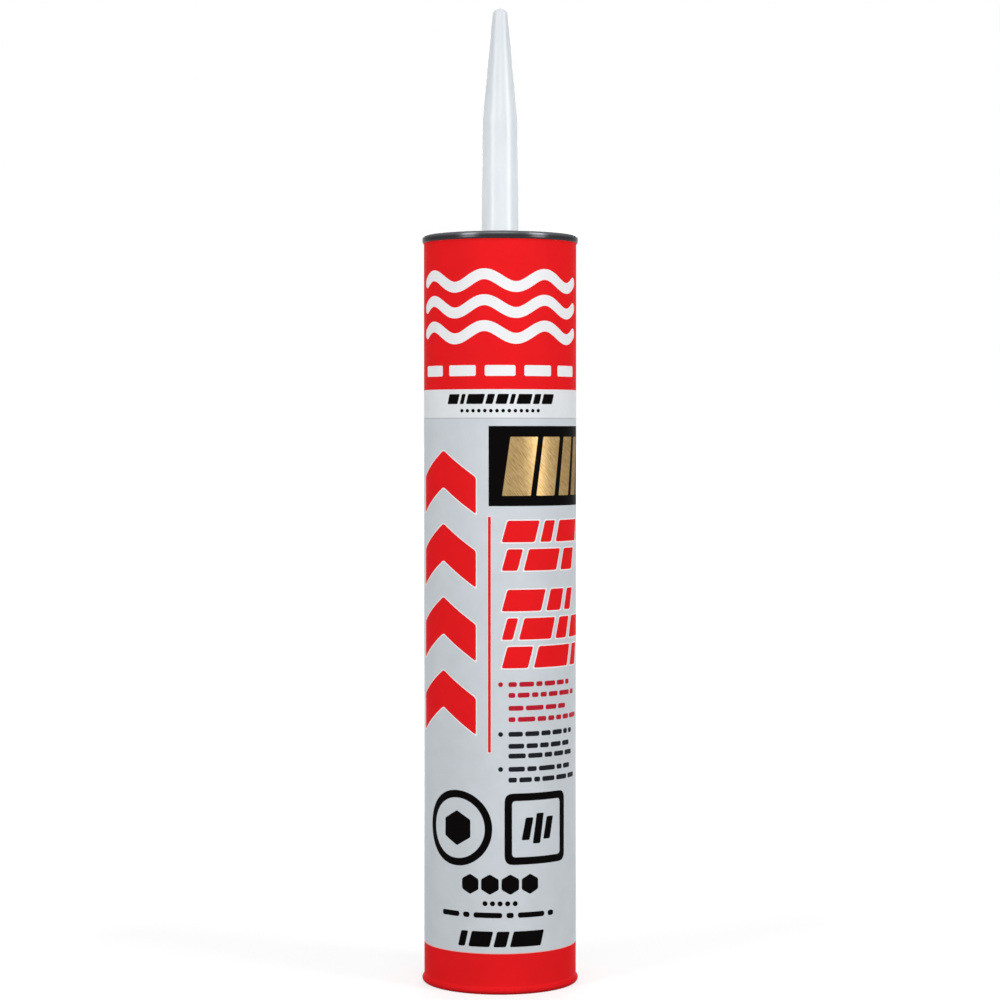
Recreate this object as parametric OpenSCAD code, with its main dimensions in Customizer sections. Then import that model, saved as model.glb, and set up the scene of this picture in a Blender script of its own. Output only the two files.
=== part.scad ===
// Large paperboard cartridge for construction adhesive, with a seamed metal end and a closed nozzle.
// It stands on its open foot. The origin is the centre of the foot, +Z runs up to the nozzle tip,
// and the front of the label faces -Y. All sizes are in millimetres, and angles in degrees.

/* [Body] */
// Height of the body, from the foot to the top of the metal seam
body_height = 311.1; // [200:0.1:360]
// Outside diameter of the body over its label
body_diameter = 63.5; // [58:0.5:76]
// Wall thickness of the spiral-wound paperboard tube
tube_wall = 1.15; // [0.8:0.05:2]
// Thickness of the printed label
label_thickness = 0.15; // [0.1:0.01:0.3]
// Width of the strip where the label laps over its own start, at the back
label_lap = 9; // [4:0.5:20]

/* [Foot] */
// Outside radius of the rolled foot bead, over the label
bead_radius = 1.4; // [1:0.05:1.6]
// How far the bead stands out from the body
bead_stand_out = 0.85; // [0.6:0.05:0.95]
// Radius of the hollow fillet from the body out to the foot bead
bead_fillet_radius = 1.5; // [1:0.1:3]
// Width of the flat land on which the foot stands
foot_land = 0.25; // [0.1:0.05:0.5]
// Height over which the mouth of the tube opens out
mouth_flare_height = 3.2; // [1:0.1:5]

/* [Neck] */
// Radius of the hollow fillet where the label turns out under the seam
neck_radius = 2.5; // [2:0.1:5]
// Height of that fillet
neck_height = 1; // [0.5:0.05:1.4]
// How far the tube's flange turns out past the neck, inside the seam
flange_turn_out = 0.25; // [0.2:0.01:0.35]

/* [Metal end] */
// Sheet thickness of the tinplate end
sheet = 0.3; // [0.2:0.01:0.36]
// Height of the rolled seam
seam_height = 3.1; // [2.8:0.1:4.5]
// Centre-line radius of the seam's outer shoulder
seam_shoulder = 1.1; // [0.7:0.05:1.1]
// Centre-line radius of the seam's inner top corner
seam_corner = 0.65; // [0.5:0.05:0.8]
// Centre-line radius of the curl under the seam
seam_curl = 0.5; // [0.3:0.05:0.55]
// Depth of the countersink groove below the top of the seam
groove_depth = 7.5; // [7:0.1:12]
// Centre-line radius of the countersink groove
groove_radius = 1; // [0.7:0.05:1.6]
// Depth of the outer panel below the top of the seam
panel_depth = 4.9; // [4.4:0.1:5.2]
// Centre-line radius of the panel's bends
panel_bend = 0.5; // [0.3:0.05:0.6]
// Radius at which the panel steps up to its plateau
plateau_radius = 21; // [16:0.5:22]
// Height of the step up to the plateau
plateau_rise = 0.9; // [0.5:0.05:1.2]
// Slope of that step
plateau_slope = 40; // [30:1:60]
// Height of the collar turned up round the nozzle, above the plateau
collar_height = 1.8; // [1.2:0.1:2.2]

/* [Nozzle] */
// Reach of the nozzle above the seam
nozzle_reach = 94.7; // [60:0.1:130]
// Diameter of the nozzle's neck in the collar
nozzle_neck_diameter = 15.6; // [12:0.1:20]
// Diameter of the nozzle at the level of the seam
nozzle_base_diameter = 15.4; // [11.5:0.1:19.5]
// Diameter of the nozzle at its shoulder
nozzle_shoulder_diameter = 14.7; // [11:0.1:19]
// Height of the shoulder above the seam
nozzle_shoulder_height = 48; // [30:0.5:50]
// Blend radius at the shoulder
nozzle_shoulder_blend = 40; // [20:5:90]
// Diameter of the closed tip, where its round starts
nozzle_tip_diameter = 6.4; // [4:0.1:8]
// Wall thickness of the nozzle
nozzle_wall = 1.1; // [0.8:0.05:1.5]
// Thickness of the closed tip
nozzle_tip_wall = 2.4; // [1.5:0.1:4]
// Diameter of the flange that bears on the underside of the metal end
flange_diameter = 27; // [24:0.5:30]
// Thickness of that flange
flange_thickness = 1.3; // [0.9:0.1:1.4]
// How far the snap rib stands out over the collar's edge
snap_hold = 0.25; // [0.15:0.05:0.5]
// Height of the snap rib
snap_height = 1.4; // [1:0.1:2]

/* [Foil seal] */
// Diameter of the foil disc under the nozzle
foil_diameter = 24; // [18:0.5:24]
// Thickness of the foil
foil_thickness = 0.12; // [0.08:0.01:0.2]

/* [Plunger] */
// Height of the plunger's front face above the foot, in a full cartridge
plunger_front_height = 22.5; // [20:0.5:60]
// Length of the plunger
plunger_length = 17; // [14:0.5:19]
// Thickness of the plunger's front wall
plunger_front_wall = 1.5; // [1:0.1:2.5]
// Thickness of the plunger's skirt at its waist
plunger_skirt = 1.2; // [0.9:0.05:1.6]
// How far the two sealing lips stand out from the waist
lip_stand_out = 0.45; // [0.3:0.05:0.8]
// Height of each sealing lip
lip_height = 2.4; // [1.6:0.1:3]
// Number of ribs on the floor of the plunger's cup
rib_count = 12; // [6:1:18]
// Thickness of each rib and of the ring in the middle
rib_thickness = 1.2; // [0.8:0.1:2]
// Height of the ribs
rib_height = 1.4; // [0.8:0.1:1.7]
// Outside radius of the ring in the middle of the cup
hub_radius = 9; // [6:0.5:12]
// Radius at which the ribs end
rib_reach = 25; // [16:0.5:25]
// Size of the thick corner between the cup's wall and floor
cup_corner = 1.8; // [1.5:0.1:2.5]
// Depth to which the plunger stops short of the metal end
stroke_end_gap = 0.5; // [0.3:0.1:2]

/* [Clearances] */
// Radial clearance of the plunger's lips in the tube
running_clearance = 0.05; // [0.02:0.01:0.1]
// Clearance between pieces that are pressed, rolled or bonded together
fit_clearance = 0.03; // [0.01:0.01:0.06]

/* [Print] */
// Height of the red band at the foot
foot_band = 16.6; // [8:0.1:30]
// Distance from the top of the seam down to the lower edge of the red head band
head_band = 64.3; // [40:0.1:90]
// Height of the pale title band under the head band
title_band = 11.9; // [6:0.1:20]
// Distance from the title band down to the black panel
black_panel_gap = 3; // [1:0.1:10]
// Height of the black panel
black_panel_height = 32.6; // [15:0.1:40]
// Angle from the front to the left edge of the black panel
black_panel_start = -8.5; // [-20:0.5:10]
// Angle from the front to the right edge of the black panel
black_panel_end = 100; // [60:1:130]

/* [Hidden] */
$fn = 96;

red = "#e01f24";
grey = "#ccd2d6";
pale = "#e8e8e8";
black = "#0a0a0a";

// Steps in which each arc of a profile is drawn
arc_steps = 6;
front_angle = -90;

// Body and tube
body_radius = body_diameter / 2;
tube_outer = body_radius - label_thickness;
tube_inner = tube_outer - tube_wall;

// Foot bead: its centre is one bead radius above the floor, so the tube itself stands on the floor
tube_bead = bead_radius - label_thickness;
bead_centre = [body_radius + bead_stand_out - bead_radius, tube_bead];
fillet_run = bead_fillet_radius + bead_radius - bead_stand_out;
fillet_rise = sqrt(pow(bead_fillet_radius + bead_radius, 2) - pow(fillet_run, 2));
fillet_centre = bead_centre + [fillet_run, fillet_rise];
bead_turn = atan2(fillet_rise, fillet_run);

// Seam and neck
seam_bottom = body_height - seam_height;
neck_top = seam_bottom - 2 * fit_clearance;
neck_turn = asin(neck_height / neck_radius);
neck_centre = [body_radius + neck_radius, neck_top - neck_height];
neck_end = tube_outer + (neck_radius + label_thickness) * (1 - cos(neck_turn));
flange_radius = neck_end + flange_turn_out;
seam_line = flange_radius + fit_clearance + sheet / 2;
chuck_line = tube_inner - fit_clearance - sheet / 2;
seam_top_line = body_height - sheet / 2;
seam_corner_z = seam_top_line - seam_corner;
seam_shoulder_z = seam_top_line - seam_shoulder;
curl_turn = 60;
curl_centre = [seam_line - seam_curl, seam_bottom + (seam_curl + sheet / 2) * sin(curl_turn)];
tube_top = body_height - sheet - 2 * fit_clearance;
tube_top_chamfer = seam_corner - sheet / 2;
tube_top_land = 0.1;
tube_top_outer = max(
    flange_radius - (seam_shoulder - sheet / 2),
    tube_inner + tube_top_chamfer + tube_top_land
);
flange_low = curl_centre.y + seam_curl;
flange_slope = 0.3;

// Panel of the metal end
groove_centre = [chuck_line - groove_radius, body_height - groove_depth + sheet / 2 + groove_radius];
groove_bottom = body_height - groove_depth;
groove_inner_line = chuck_line - 2 * groove_radius;
panel_line = body_height - panel_depth - sheet / 2;
plateau_line = panel_line + plateau_rise;
step_drop = 2 * panel_bend * (1 - cos(plateau_slope));
step_line = (plateau_rise - step_drop) / sin(plateau_slope);
step_run = 2 * panel_bend * sin(plateau_slope) + step_line * cos(plateau_slope);
collar_line = nozzle_neck_diameter / 2 + fit_clearance + sheet / 2;
collar_top = plateau_line + sheet / 2 + collar_height;

// Nozzle
flange_top = plateau_line - sheet / 2 - fit_clearance;
flange_bottom = flange_top - flange_thickness;
snap_low = collar_top + fit_clearance;
snap_radius = collar_line + sheet / 2 + snap_hold;
nozzle_top = body_height + nozzle_reach;
tip_radius = nozzle_tip_diameter / 2;
shoulder_radius = nozzle_shoulder_diameter / 2;
shoulder_z = body_height + nozzle_shoulder_height;
tip_round_z = nozzle_top - tip_radius;
shank_lean = atan2(nozzle_base_diameter / 2 - shoulder_radius, nozzle_shoulder_height);
taper_lean = atan2(shoulder_radius - tip_radius, tip_round_z - shoulder_z);
blend_tangent = nozzle_shoulder_blend * tan((taper_lean - shank_lean) / 2);
blend_start = [
    shoulder_radius + blend_tangent * sin(shank_lean),
    shoulder_z - blend_tangent * cos(shank_lean)
];
blend_centre = [
    blend_start.x - nozzle_shoulder_blend * cos(shank_lean),
    blend_start.y - nozzle_shoulder_blend * sin(shank_lean)
];

// Plunger
plunger_rear = plunger_front_height - plunger_length;
lip_radius = tube_inner - running_clearance;
waist_radius = lip_radius - lip_stand_out;
cup_radius = waist_radius - plunger_skirt;
cup_floor = plunger_front_height - plunger_front_wall;
rib_root = rib_height + plunger_front_wall / 2;
plunger_stroke = groove_bottom - stroke_end_gap - plunger_front_height;

// Print
head_band_low = body_height - head_band;
title_band_low = head_band_low - title_band;
black_panel_top = title_band_low - black_panel_gap;
black_panel_low = black_panel_top - black_panel_height;

// Points along an arc about c, from angle a0 to angle a1
function arc(c, r, a0, a1, steps = arc_steps) =
    [for (i = [0:steps]) let (a = a0 + (a1 - a0) * i / max(steps, 1)) c + r * [cos(a), sin(a)]];

// One side of a bent strip. Each bend is [centre, centre-line radius, first angle, last angle],
// and a free end is a bend of no radius. The side lies d to the left of the centre line.
function strip_side(bends, d) =
    [for (b = bends) each arc(b[0], b[1] - (b[3] < b[2] ? -d : d), b[2], b[3], b[2] == b[3] ? 0 : arc_steps)];

// Outline of a strip of thickness t that follows the bends
function strip(bends, t) =
    concat(strip_side(bends, t / 2), reversed(strip_side(bends, -t / 2)));

function reversed(list) = [for (i = [len(list) - 1:-1:0]) list[i]];

// Line round the foot bead and its fillet, d outside the tube, from the floor up
function foot_line(d) = concat(
    arc(bead_centre, tube_bead + d, -asin(tube_bead / (tube_bead + d)), bead_turn),
    arc(fillet_centre, bead_fillet_radius + label_thickness - d, bead_turn + 180, 180)
);

// Line of the neck that turns out under the seam, d outside the tube
function neck_line(d) = arc(neck_centre, neck_radius + label_thickness - d, 180, 180 - neck_turn);

// Spiral-wound paperboard tube: a rolled foot bead, a straight bore and a flange clinched in the seam
module tube() {
    color("#b9926a")
        rotate_extrude()
            polygon(concat(
                [[bead_centre.x - foot_land, 0]],
                foot_line(0),
                neck_line(0),
                [
                    [neck_end, flange_low],
                    [flange_radius, flange_low + flange_slope],
                    [flange_radius, seam_shoulder_z],
                    [tube_top_outer, tube_top],
                    [tube_inner + tube_top_chamfer, tube_top],
                    [tube_inner, seam_corner_z],
                    [tube_inner, mouth_flare_height]
                ]
            ));
}

// Sections of the label, its inner face d outside the tube: round the foot bead, between two
// heights of the straight body, up to the seam, and all of it
module label_foot(d = 0) {
    polygon(concat(
        foot_line(d + label_thickness),
        [[tube_outer + d + label_thickness, foot_band], [tube_outer + d, foot_band]],
        reversed(foot_line(d))
    ));
}

module label_straight(z0, z1, d = 0) {
    translate([tube_outer + d, z0])
        square([label_thickness, z1 - z0]);
}

module label_head(d = 0) {
    polygon(concat(
        [[tube_outer + d, head_band_low], [tube_outer + d + label_thickness, head_band_low]],
        neck_line(d + label_thickness),
        reversed(neck_line(d))
    ));
}

module label_whole(d = 0) {
    polygon(concat(
        foot_line(d + label_thickness),
        neck_line(d + label_thickness),
        reversed(neck_line(d)),
        reversed(foot_line(d))
    ));
}

// Wedge from the axis out past the label, between two angles from the front and two heights
module wedge(from, to, z0, z1) {
    reach = 2 * body_radius;
    translate([0, 0, z0])
        linear_extrude(z1 - z0)
            polygon(concat([[0, 0]], arc([0, 0], reach, front_angle + from, front_angle + to)));
}

// Printed label: one sheet wrapped round the tube and lapped at the back, with its main fields of
// colour
module label() {
    lap_half = label_lap / 2 / body_radius * 180 / PI;
    color(red) {
        rotate_extrude()
            label_foot();
        rotate_extrude()
            label_head();
    }
    color(pale)
        rotate_extrude()
            label_straight(title_band_low, head_band_low);
    color(grey) {
        difference() {
            rotate_extrude()
                label_straight(foot_band, title_band_low);
            wedge(black_panel_start, black_panel_end, black_panel_low, black_panel_top);
        }
        rotate([0, 0, front_angle + 180 - lap_half])
            rotate_extrude(angle = 2 * lap_half)
                label_whole(label_thickness);
    }
    color(black)
        intersection() {
            rotate_extrude()
                label_straight(foot_band, title_band_low);
            wedge(black_panel_start, black_panel_end, black_panel_low, black_panel_top);
        }
}

// Pressed tinplate end: collar, plateau, panel, countersink groove and the seam rolled over the tube
module top_end() {
    bends = [
        [[collar_line, collar_top], 0, 180, 180],
        [[collar_line + panel_bend, plateau_line + panel_bend], panel_bend, 180, 270],
        [[plateau_radius, plateau_line - panel_bend], panel_bend, 90, 90 - plateau_slope],
        [[plateau_radius + step_run, panel_line + panel_bend], panel_bend, 270 - plateau_slope, 270],
        [[groove_inner_line - panel_bend, panel_line - panel_bend], panel_bend, 90, 0],
        [groove_centre, groove_radius, 180, 360],
        [[chuck_line + seam_corner, seam_corner_z], seam_corner, 180, 90],
        [[seam_line - seam_shoulder, seam_shoulder_z], seam_shoulder, 90, 0],
        [curl_centre, seam_curl, 0, -curl_turn]
    ];
    color("#55565a")
        rotate_extrude()
            polygon(strip(bends, sheet));
}

// Outside of the nozzle from the seam to the tip, drawn d inside the real surface
function nozzle_line(d) = concat(
    arc(blend_centre, nozzle_shoulder_blend - d, shank_lean, taper_lean),
    arc([0, tip_round_z], tip_radius - d, taper_lean, 90)
);

// Moulded nozzle: flange, neck, snap rib, slightly drafted shank, taper and closed round tip
module nozzle() {
    neck_radius_in_collar = nozzle_neck_diameter / 2;
    bore_radius = neck_radius_in_collar - nozzle_wall;
    bore_base_radius = nozzle_base_diameter / 2 - nozzle_wall;
    bore_end = nozzle_top - nozzle_tip_wall;
    bore_end_radius = tip_radius - nozzle_wall;
    color("#e8edf0")
        rotate_extrude()
            polygon(concat(
                [
                    [bore_radius, flange_bottom],
                    [flange_diameter / 2, flange_bottom],
                    [flange_diameter / 2, flange_top],
                    [neck_radius_in_collar, flange_top],
                    [neck_radius_in_collar, snap_low],
                    [snap_radius, snap_low],
                    [snap_radius, snap_low + snap_height / 3],
                    [nozzle_base_diameter / 2, snap_low + snap_height]
                ],
                nozzle_line(0),
                [
                    [0, bore_end],
                    [bore_end_radius, bore_end - bore_end_radius]
                ],
                reversed(arc(blend_centre, nozzle_shoulder_blend - nozzle_wall, shank_lean, taper_lean)),
                [[bore_base_radius, body_height]]
            ));
}

// Foil disc bonded under the nozzle's flange
module foil_seal() {
    color("silver")
        translate([0, 0, flange_bottom - foil_thickness])
            cylinder(h = foil_thickness, d = foil_diameter);
}

// One sealing lip, a shallow ridge that starts at height z
function lip(z, tip) = [
    [waist_radius, z],
    [lip_radius, z + lip_height * tip],
    [lip_radius, z + lip_height * (tip + 0.25)],
    [waist_radius, z + lip_height]
];

// Moulded plunger: a cup open to the rear, two sealing lips and a ribbed floor
module plunger() {
    lead_in = plunger_skirt / 2;
    color("#f1efe6") {
        rotate_extrude()
            polygon(concat(
                [
                    [0, cup_floor],
                    [cup_radius - cup_corner, cup_floor],
                    [cup_radius, cup_floor - cup_corner],
                    [cup_radius, plunger_rear + lead_in],
                    [cup_radius + lead_in, plunger_rear]
                ],
                lip(plunger_rear, 0.2),
                lip(plunger_front_height - lip_height, 0.6),
                [[0, plunger_front_height]]
            ));
        translate([0, 0, cup_floor - rib_height]) {
            rotate_extrude()
                translate([hub_radius - rib_thickness, 0])
                    square([rib_thickness, rib_root]);
            for (i = [0:rib_count - 1])
                rotate([0, 0, i * 360 / rib_count])
                    translate([hub_radius - rib_thickness / 2, -rib_thickness / 2, 0])
                        cube([rib_reach - hub_radius + rib_thickness / 2, rib_thickness, rib_root]);
        }
    }
}

// Adhesive that fills the tube between the plunger and the metal end
module adhesive() {
    fill_radius = tube_inner - fit_clearance;
    crown_radius = groove_inner_line - sheet / 2 - fit_clearance;
    fill_low = plunger_front_height + fit_clearance;
    fill_high = groove_bottom - fit_clearance;
    crown_high = flange_bottom - foil_thickness - fit_clearance;
    color("#c9b48c")
        rotate_extrude()
            polygon([
                [0, fill_low],
                [fill_radius, fill_low],
                [fill_radius, fill_high],
                [crown_radius, fill_high],
                [crown_radius, crown_high],
                [0, crown_high]
            ]);
}

tube();
label();
top_end();
nozzle();
foil_seal();
plunger();
adhesive();
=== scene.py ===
"""Looks of a large paperboard adhesive cartridge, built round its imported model.

Sizes are in millimetres and angles in degrees, and become metres and radians where a mesh, lamp or
camera is made. The cartridge stands on its open foot with its axis on +Z. The front of the label
faces -Y, and angles and lengths round it count from the front towards +X.
"""

import math
import random

import bpy
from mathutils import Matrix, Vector
from mathutils.geometry import delaunay_2d_cdt


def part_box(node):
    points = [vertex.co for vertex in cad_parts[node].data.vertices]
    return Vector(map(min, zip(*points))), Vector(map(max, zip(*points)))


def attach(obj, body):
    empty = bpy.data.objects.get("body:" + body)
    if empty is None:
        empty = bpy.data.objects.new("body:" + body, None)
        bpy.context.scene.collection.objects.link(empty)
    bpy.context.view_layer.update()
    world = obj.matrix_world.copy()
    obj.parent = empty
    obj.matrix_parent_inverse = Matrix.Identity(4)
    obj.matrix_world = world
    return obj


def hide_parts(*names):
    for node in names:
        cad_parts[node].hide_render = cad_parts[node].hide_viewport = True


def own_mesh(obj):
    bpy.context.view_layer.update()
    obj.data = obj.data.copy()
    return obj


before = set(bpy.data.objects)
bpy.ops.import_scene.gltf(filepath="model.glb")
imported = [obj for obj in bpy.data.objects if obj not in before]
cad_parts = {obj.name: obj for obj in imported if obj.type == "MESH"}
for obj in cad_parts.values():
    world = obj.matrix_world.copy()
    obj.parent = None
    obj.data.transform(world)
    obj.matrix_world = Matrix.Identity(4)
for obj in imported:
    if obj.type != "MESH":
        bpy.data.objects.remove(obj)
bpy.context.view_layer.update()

MM = 0.001

# Body, foot and neck
BODY_HEIGHT = 311.1
BODY_RADIUS = 31.75
TUBE_WALL = 1.15
LABEL_THICKNESS = 0.15
LABEL_LAP = 9
LAP_CLIMB = 2
BEAD_RADIUS = 1.4
BEAD_STAND_OUT = 0.85
BEAD_FILLET_RADIUS = 1.5
FOOT_LAND = 0.25
MOUTH_FLARE_HEIGHT = 3.2
NECK_RADIUS = 2.5
NECK_HEIGHT = 1
FLANGE_TURN_OUT = 0.25
FLANGE_SLOPE = 0.3

# Metal end
SHEET = 0.3
SEAM_HEIGHT = 3.1
SEAM_SHOULDER = 1.1
SEAM_CORNER = 0.65
SEAM_CURL = 0.5
CURL_TURN = 60
GROOVE_DEPTH = 7.5
GROOVE_RADIUS = 1
PANEL_DEPTH = 4.9
PANEL_BEND = 0.5
PLATEAU_RADIUS = 21
PLATEAU_RISE = 0.9
PLATEAU_SLOPE = 40
COLLAR_HEIGHT = 1.8

# Nozzle and foil
NOZZLE_REACH = 94.7
NOZZLE_NECK_RADIUS = 7.8
NOZZLE_BASE_RADIUS = 7.7
NOZZLE_SHOULDER_RADIUS = 7.35
NOZZLE_SHOULDER_HEIGHT = 48
NOZZLE_SHOULDER_BLEND = 40
NOZZLE_TIP_RADIUS = 3.2
NOZZLE_WALL = 1.1
NOZZLE_TIP_WALL = 2.4
NOZZLE_FLANGE_RADIUS = 13.5
NOZZLE_FLANGE_THICKNESS = 1.3
SNAP_HOLD = 0.25
SNAP_HEIGHT = 1.4

# Plunger
PLUNGER_FRONT = 22.5
PLUNGER_LENGTH = 17
PLUNGER_FRONT_WALL = 1.5
PLUNGER_SKIRT = 1.2
LIP_STAND_OUT = 0.45
LIP_HEIGHT = 2.4
LIP_LAND = 0.25
RIB_COUNT = 12
RIB_THICKNESS = 1.2
RIB_HEIGHT = 1.4
HUB_RADIUS = 9
RIB_REACH = 25
CUP_CORNER = 1.8
RUNNING_CLEARANCE = 0.05
FIT_CLEARANCE = 0.03

# Print: heights of the bands and their hairlines, the black panel with the angles of its sides, the
# angle of the rule under it, and the middles of the two framed marks
BEAD_TOP = 2.6
FOOT_BAND = 16.6
TITLE_BAND_LOW = 234.9
HEAD_BAND_LOW = 246.8
HAIRLINE = 0.3
PANEL_TOP = 231.9
PANEL_LOW = 199.3
PANEL_START = -8.5
PANEL_END = 107
RULE_ANGLE = -7.9
MARK_LEFT = -18.7
MARK_RIGHT = 16.4
MARK_HEIGHT = 67.6

# Inks: colour in sRGB steps, roughness and specular level
INKS = {
    "red": ((232, 30, 34), 0.42, 0.006),
    # Painted shade: a darker red on the foot bead, against the light that its upper side catches from above
    "shaded_bead_red": ((213, 27, 32), 0.42, 0.006),
    "crimson": ((184, 30, 48), 0.42, 0.03),
    "pink": ((236, 176, 172), 0.42, 0.06),
    "grey": ((205, 211, 216), 0.42, 0.06),
    "line": ((170, 176, 181), 0.42, 0.06),
    "pale": ((226, 229, 232), 0.42, 0.06),
    "white": ((238, 238, 240), 0.42, 0.06),
    "black": ((12, 10, 10), 0.40, 0.006),
    "ink": ((30, 32, 38), 0.42, 0.02),
}

# The seam's shoulder carries a painted highlight: its lacquer turns to a brighter colour from this far
# under its shoulder's centre to this far under its top
HIGHLIGHT_UNDER_SHOULDER = 0.5
HIGHLIGHT_UNDER_TOP = 0.3

# Painted shade: the nozzle's colour turns from lighter at its base to greyer up to this far under its tip
SHADE_UNDER_TIP = 12

# Climb of the board's ply in one turn, and the share of it that shows as a joint on either side
PLY_CLIMB = 72
PLY_JOINT = 0.008

# Span of a grain's noise that its colours and numbers cover
GRAIN_LOW = 0.3
GRAIN_HIGH = 0.7

# Fineness of the meshes
LATHE_STEPS = 256
NOZZLE_STEPS = 192
FILL_STEPS = 128
RING_STEPS = 96
LABEL_COLUMNS = 240
ARC_STEPS = 14
ROW_HEIGHT = 18
LATHE_SHARP = 32
LABEL_SHARP = 30

# Distances under which points are one, a cut's points are merged, and a point is on the axis
SAME_POINT = 1e-4
CUT_TOLERANCE = 1e-5
ON_AXIS = 1e-6

# Lamps: name, place, what each points at, width, height, and power in watts
LAMPS = [
    ("left_box", (-805, -750, 620), (0, 0, 230), 420, 900, 7.1),
    ("right_box", (935, -585, 620), (0, 0, 230), 420, 900, 7.9),
    ("front_box", (0, -1500, 1100), (0, 0, 180), 1200, 700, 7.0),
    ("back_box", (0, 1400, 900), (0, 0, 230), 900, 900, 12.0),
]
SURROUND = 0.395

# Floor: half its width, its colour for the light it bounces, and for the rays that see it a pale
# grey with a glow, which rises to full white between two distances from the cartridge
FLOOR_HALF = 60000
FLOOR_COLOUR = (120, 120, 120)
FLOOR_PALE = 0.4
GLOW_NEAR = 200
GLOW_FAR = 600
GLOW_LOW = 0.6

# Camera, fitted to the photo
CAMERA_PLACE = (-0.04, -1122.96, 228.31)
CAMERA_TIP = 1.39
CAMERA_LENS = 96.783

# Values worked out from the sizes above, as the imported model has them
TUBE_OUTER = BODY_RADIUS - LABEL_THICKNESS
TUBE_INNER = TUBE_OUTER - TUBE_WALL
TUBE_BEAD = BEAD_RADIUS - LABEL_THICKNESS
BEAD_CENTRE = (BODY_RADIUS + BEAD_STAND_OUT - BEAD_RADIUS, TUBE_BEAD)
FILLET_RUN = BEAD_FILLET_RADIUS + BEAD_RADIUS - BEAD_STAND_OUT
FILLET_RISE = math.sqrt((BEAD_FILLET_RADIUS + BEAD_RADIUS) ** 2 - FILLET_RUN ** 2)
FILLET_CENTRE = (BEAD_CENTRE[0] + FILLET_RUN, TUBE_BEAD + FILLET_RISE)
BEAD_TURN = math.degrees(math.atan2(FILLET_RISE, FILLET_RUN))
SEAM_BOTTOM = BODY_HEIGHT - SEAM_HEIGHT
NECK_TOP = SEAM_BOTTOM - 2 * FIT_CLEARANCE
NECK_LOW = NECK_TOP - NECK_HEIGHT
NECK_TURN = math.degrees(math.asin(NECK_HEIGHT / NECK_RADIUS))
NECK_CENTRE = (BODY_RADIUS + NECK_RADIUS, NECK_LOW)
NECK_END = TUBE_OUTER + (NECK_RADIUS + LABEL_THICKNESS) * (1 - math.cos(math.radians(NECK_TURN)))
FLANGE_RADIUS = NECK_END + FLANGE_TURN_OUT
SEAM_LINE = FLANGE_RADIUS + FIT_CLEARANCE + SHEET / 2
CHUCK_LINE = TUBE_INNER - FIT_CLEARANCE - SHEET / 2
SEAM_CORNER_Z = BODY_HEIGHT - SHEET / 2 - SEAM_CORNER
SEAM_SHOULDER_Z = BODY_HEIGHT - SHEET / 2 - SEAM_SHOULDER
CURL_DROP = (SEAM_CURL + SHEET / 2) * math.sin(math.radians(CURL_TURN))
CURL_CENTRE = (SEAM_LINE - SEAM_CURL, SEAM_BOTTOM + CURL_DROP)
TUBE_TOP = BODY_HEIGHT - SHEET - 2 * FIT_CLEARANCE
TUBE_TOP_CHAMFER = SEAM_CORNER - SHEET / 2
TUBE_TOP_OUTER = FLANGE_RADIUS - (SEAM_SHOULDER - SHEET / 2)
FLANGE_LOW = CURL_CENTRE[1] + SEAM_CURL
GROOVE_BOTTOM = BODY_HEIGHT - GROOVE_DEPTH
GROOVE_CENTRE = (CHUCK_LINE - GROOVE_RADIUS, GROOVE_BOTTOM + SHEET / 2 + GROOVE_RADIUS)
GROOVE_INNER_LINE = CHUCK_LINE - 2 * GROOVE_RADIUS
PANEL_LINE = BODY_HEIGHT - PANEL_DEPTH - SHEET / 2
PLATEAU_LINE = PANEL_LINE + PLATEAU_RISE
COLLAR_LINE = NOZZLE_NECK_RADIUS + FIT_CLEARANCE + SHEET / 2
COLLAR_TOP = PLATEAU_LINE + SHEET / 2 + COLLAR_HEIGHT
NOZZLE_FLANGE_TOP = PLATEAU_LINE - SHEET / 2 - FIT_CLEARANCE
NOZZLE_FLANGE_BOTTOM = NOZZLE_FLANGE_TOP - NOZZLE_FLANGE_THICKNESS
NOZZLE_TOP = BODY_HEIGHT + NOZZLE_REACH
LIP_RADIUS = TUBE_INNER - RUNNING_CLEARANCE
WAIST_RADIUS = LIP_RADIUS - LIP_STAND_OUT
CUP_RADIUS = WAIST_RADIUS - PLUNGER_SKIRT
CUP_FLOOR = PLUNGER_FRONT - PLUNGER_FRONT_WALL
PLUNGER_REAR = PLUNGER_FRONT - PLUNGER_LENGTH


# Profiles. A point is (radius, height).

def arc(centre, radius, first, last, steps=ARC_STEPS):
    """Points along an arc between two angles."""
    points = []
    for i in range(steps + 1):
        a = math.radians(first + (last - first) * i / steps)
        points.append((centre[0] + radius * math.cos(a), centre[1] + radius * math.sin(a)))
    return points


def without_doubles(points):
    """The same points, without those that fall on the one before."""
    kept = [points[0]]
    for p in points[1:]:
        if math.dist(p, kept[-1]) > SAME_POINT:
            kept.append(p)
    return kept


def foot_line(out):
    """Line round the foot bead and its fillet, out from the tube, from the floor up."""
    bead = TUBE_BEAD + out
    first = -math.degrees(math.asin(TUBE_BEAD / bead))
    fillet = BEAD_FILLET_RADIUS + LABEL_THICKNESS - out
    return arc(BEAD_CENTRE, bead, first, BEAD_TURN) + arc(FILLET_CENTRE, fillet, BEAD_TURN + 180, 180)


def neck_line(out):
    """Line of the neck that turns out under the seam, out from the tube."""
    return arc(NECK_CENTRE, NECK_RADIUS + LABEL_THICKNESS - out, 180, 180 - NECK_TURN, steps=8)


def strip_side(bends, out):
    """One side of a bent strip. A bend is centre, centre-line radius, first and last angle."""
    points = []
    for centre, radius, first, last in bends:
        side = radius + (out if last < first else -out)
        points += arc(centre, side, first, last, ARC_STEPS if last != first else 1)
    return points


def strip(bends, thickness):
    """Outline of a strip of sheet that follows the bends."""
    return strip_side(bends, thickness / 2) + strip_side(bends, -thickness / 2)[::-1]


# Meshes

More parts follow.
